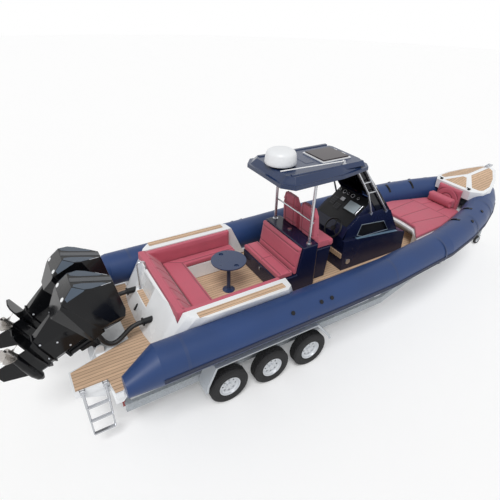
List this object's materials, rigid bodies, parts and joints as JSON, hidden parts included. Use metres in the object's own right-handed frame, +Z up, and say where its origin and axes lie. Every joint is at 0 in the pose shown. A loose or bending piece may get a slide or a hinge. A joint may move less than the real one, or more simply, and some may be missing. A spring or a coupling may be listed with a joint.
{
  "type": "rigid inflatable boat on trailer",
  "caption": "Rigid inflatable boat with raised outboard engines, helm console, hard top and boarding ladder, carried on its road trailer.",
  "frame": {"origin": "on the ground, under the middle of the overall length and beam", "axes": "+X to the bow, +Y to port, +Z up"},
  "size_m": [11.0864, 2.9934, 3.4524],
  "materials": {
    "tube_fabric": "satin coated fabric, navy blue",
    "strake_rubber": "ribbed rubber, darker navy",
    "gelcoat_white": "glossy gelcoat",
    "teak": "planked teak with dark caulking",
    "cushion_rose": "piped vinyl, dusty rose",
    "module_navy": "glossy dark navy moulding",
    "dash_black": "matt black panel with screens",
    "roof_navy": "glossy grey-blue moulding",
    "screen_glass": "dark tinted acrylic",
    "stainless": "polished stainless steel",
    "radar_white": "glossy white dome",
    "engine_black": "gloss black paint",
    "clamp_white": "white painted bracket",
    "propeller_steel": "brushed stainless steel",
    "hose_black": "ribbed rigging hose",
    "galvanised": "hot-dip galvanised steel",
    "tyre": "tyre rubber",
    "grey_plastic": "grey moulded mudguard and rollers",
    "lamp_red": "red lamp lens"
  },
  "bodies": {
    "boat_and_trailer": {"antenna_mount": "stainless", "axles": "galvanised", "bench_cushions": "cushion_rose", "boat_supports": "grey_plastic", "bow_backrest": "cushion_rose", "bow_base": "gelcoat_white", "bow_step": "gelcoat_white", "bow_sunpad": "cushion_rose", "coaming": "gelcoat_white", "collar": "tube_fabric", "console": "module_navy", "dash": "dash_black", "deck_fittings": "dash_black", "drawbar_gear": "galvanised", "engine_clamps": "clamp_white", "fenders": "grey_plastic", "hard_top": "roof_navy", "hatch_frame": "roof_navy", "helm_seats": "cushion_rose", "hose_port": "hose_black", "hose_starboard": "hose_black", "hull": "gelcoat_white", "ladder_brackets": "stainless", "lounge_back": "cushion_rose", "lounge_base": "gelcoat_white", "lounge_seat": "cushion_rose", "platform": "gelcoat_white", "radar_dome": "radar_white", "rub_strake": "strake_rubber", "seat_module": "module_navy", "stainless_fittings": "stainless", "table": "module_navy", "teak_decking": "teak", "top_frames": "stainless", "top_posts": "stainless", "trailer_frame": "galvanised", "trailer_lights": "lamp_red", "windscreen": "screen_glass"},
    "steering_wheel": {"steering_wheel": "dash_black"},
    "hatch_lid": {"hatch_lid": "screen_glass"},
    "antenna_rod": {"antenna_rod": "radar_white"},
    "jockey_wheel": {"jockey_wheel": "tyre"},
    "ladder_upper": {"ladder_upper": "stainless"},
    "ladder_middle": {"ladder_middle": "stainless"},
    "ladder_lower": {"ladder_lower": "stainless"},
    "swivel_starboard": {"swivel_starboard": "engine_black"},
    "engine_starboard": {"cowl_starboard": "engine_black", "leg_starboard": "engine_black"},
    "propeller_starboard": {"propeller_starboard": "propeller_steel"},
    "wheel_1_starboard": {"wheel_1_starboard": "tyre"},
    "wheel_2_starboard": {"wheel_2_starboard": "tyre"},
    "wheel_3_starboard": {"wheel_3_starboard": "tyre"},
    "swivel_port": {"swivel_port": "engine_black"},
    "engine_port": {"cowl_port": "engine_black", "leg_port": "engine_black"},
    "propeller_port": {"propeller_port": "propeller_steel"},
    "wheel_1_port": {"wheel_1_port": "tyre"},
    "wheel_2_port": {"wheel_2_port": "tyre"},
    "wheel_3_port": {"wheel_3_port": "tyre"}
  },
  "joints": [
    {"name": "wheel_1_starboard_spin", "type": "hinge", "parent": "boat_and_trailer", "child": "wheel_1_starboard", "pos_m": [-2.66683, -1.154, 0.325], "axis": [0, 1, 0], "continuous": true},
    {"name": "wheel_1_port_spin", "type": "hinge", "parent": "boat_and_trailer", "child": "wheel_1_port", "pos_m": [-2.66683, 1.154, 0.325], "axis": [0, 1, 0], "continuous": true},
    {"name": "wheel_2_starboard_spin", "type": "hinge", "parent": "boat_and_trailer", "child": "wheel_2_starboard", "pos_m": [-1.89883, -1.154, 0.325], "axis": [0, 1, 0], "continuous": true},
    {"name": "wheel_2_port_spin", "type": "hinge", "parent": "boat_and_trailer", "child": "wheel_2_port", "pos_m": [-1.89883, 1.154, 0.325], "axis": [0, 1, 0], "continuous": true},
    {"name": "wheel_3_starboard_spin", "type": "hinge", "parent": "boat_and_trailer", "child": "wheel_3_starboard", "pos_m": [-1.13083, -1.154, 0.325], "axis": [0, 1, 0], "continuous": true},
    {"name": "wheel_3_port_spin", "type": "hinge", "parent": "boat_and_trailer", "child": "wheel_3_port", "pos_m": [-1.13083, 1.154, 0.325], "axis": [0, 1, 0], "continuous": true},
    {"name": "jockey_wheel_spin", "type": "hinge", "parent": "boat_and_trailer", "child": "jockey_wheel", "pos_m": [5.25717, -0.096, 0.11], "axis": [0, 1, 0], "continuous": true},
    {"name": "helm_turn", "type": "hinge", "parent": "boat_and_trailer", "child": "steering_wheel", "pos_m": [-0.06683, -0.23, 1.93], "axis": [-0.848, 0, 0.5299], "range_deg": [-541, 541]},
    {"name": "hatch_open", "type": "hinge", "parent": "boat_and_trailer", "child": "hatch_lid", "pos_m": [0.04317, 0, 3.23], "axis": [0, 1, 0], "range_deg": [0, 60]},
    {"name": "antenna_raise", "type": "hinge", "parent": "boat_and_trailer", "child": "antenna_rod", "pos_m": [-0.26683, -0.45, 3.262], "axis": [0, 1, 0], "range_deg": [0, 85]},
    {"name": "tilt_starboard", "type": "hinge", "parent": "boat_and_trailer", "child": "swivel_starboard", "pos_m": [-4.26683, -0.33, 1.23], "axis": [0, 1, 0], "range_deg": [-66, 6], "deforming": ["hose_starboard"]},
    {"name": "steer_starboard", "type": "hinge", "parent": "swivel_starboard", "child": "engine_starboard", "pos_m": [-4.32784, -0.33, 1.36703], "axis": [0.9135, 0, 0.4067], "range_deg": [-25, 25], "deforming": ["hose_starboard"]},
    {"name": "propeller_starboard_spin", "type": "hinge", "parent": "engine_starboard", "child": "propeller_starboard", "pos_m": [-5.29151, -0.33, 1.54002], "axis": [0.4067, 0, -0.9135], "continuous": true},
    {"name": "tilt_port", "type": "hinge", "parent": "boat_and_trailer", "child": "swivel_port", "pos_m": [-4.26683, 0.33, 1.23], "axis": [0, 1, 0], "range_deg": [-66, 6], "deforming": ["hose_port"]},
    {"name": "steer_port", "type": "hinge", "parent": "swivel_port", "child": "engine_port", "pos_m": [-4.32784, 0.33, 1.36703], "axis": [0.9135, 0, 0.4067], "range_deg": [-25, 25], "deforming": ["hose_port"]},
    {"name": "propeller_port_spin", "type": "hinge", "parent": "engine_port", "child": "propeller_port", "pos_m": [-5.29151, 0.33, 1.54002], "axis": [0.4067, 0, -0.9135], "continuous": true},
    {"name": "ladder_fold", "type": "hinge", "parent": "boat_and_trailer", "child": "ladder_upper", "pos_m": [-4.48883, -1.01, 1.175], "axis": [-1, 0, 0], "range_deg": [0, 265]},
    {"name": "ladder_middle_slide", "type": "slide", "parent": "ladder_upper", "child": "ladder_middle", "axis": [0, 0, 1], "range_m": [0, 0.24]},
    {"name": "ladder_lower_slide", "type": "slide", "parent": "ladder_middle", "child": "ladder_lower", "axis": [0, 0, 1], "range_m": [0, 0.24]}
  ],
  "couplings": [
    {"joint": "steer_port", "follows": "steer_starboard", "ratio": 1},
    {"joint": "helm_turn", "follows": "steer_starboard", "ratio": -21.6},
    {"joint": "ladder_middle_slide", "follows": "ladder_fold", "m_per_rad": 0.05189},
    {"joint": "ladder_lower_slide", "follows": "ladder_fold", "m_per_rad": 0.05189}
  ]
}
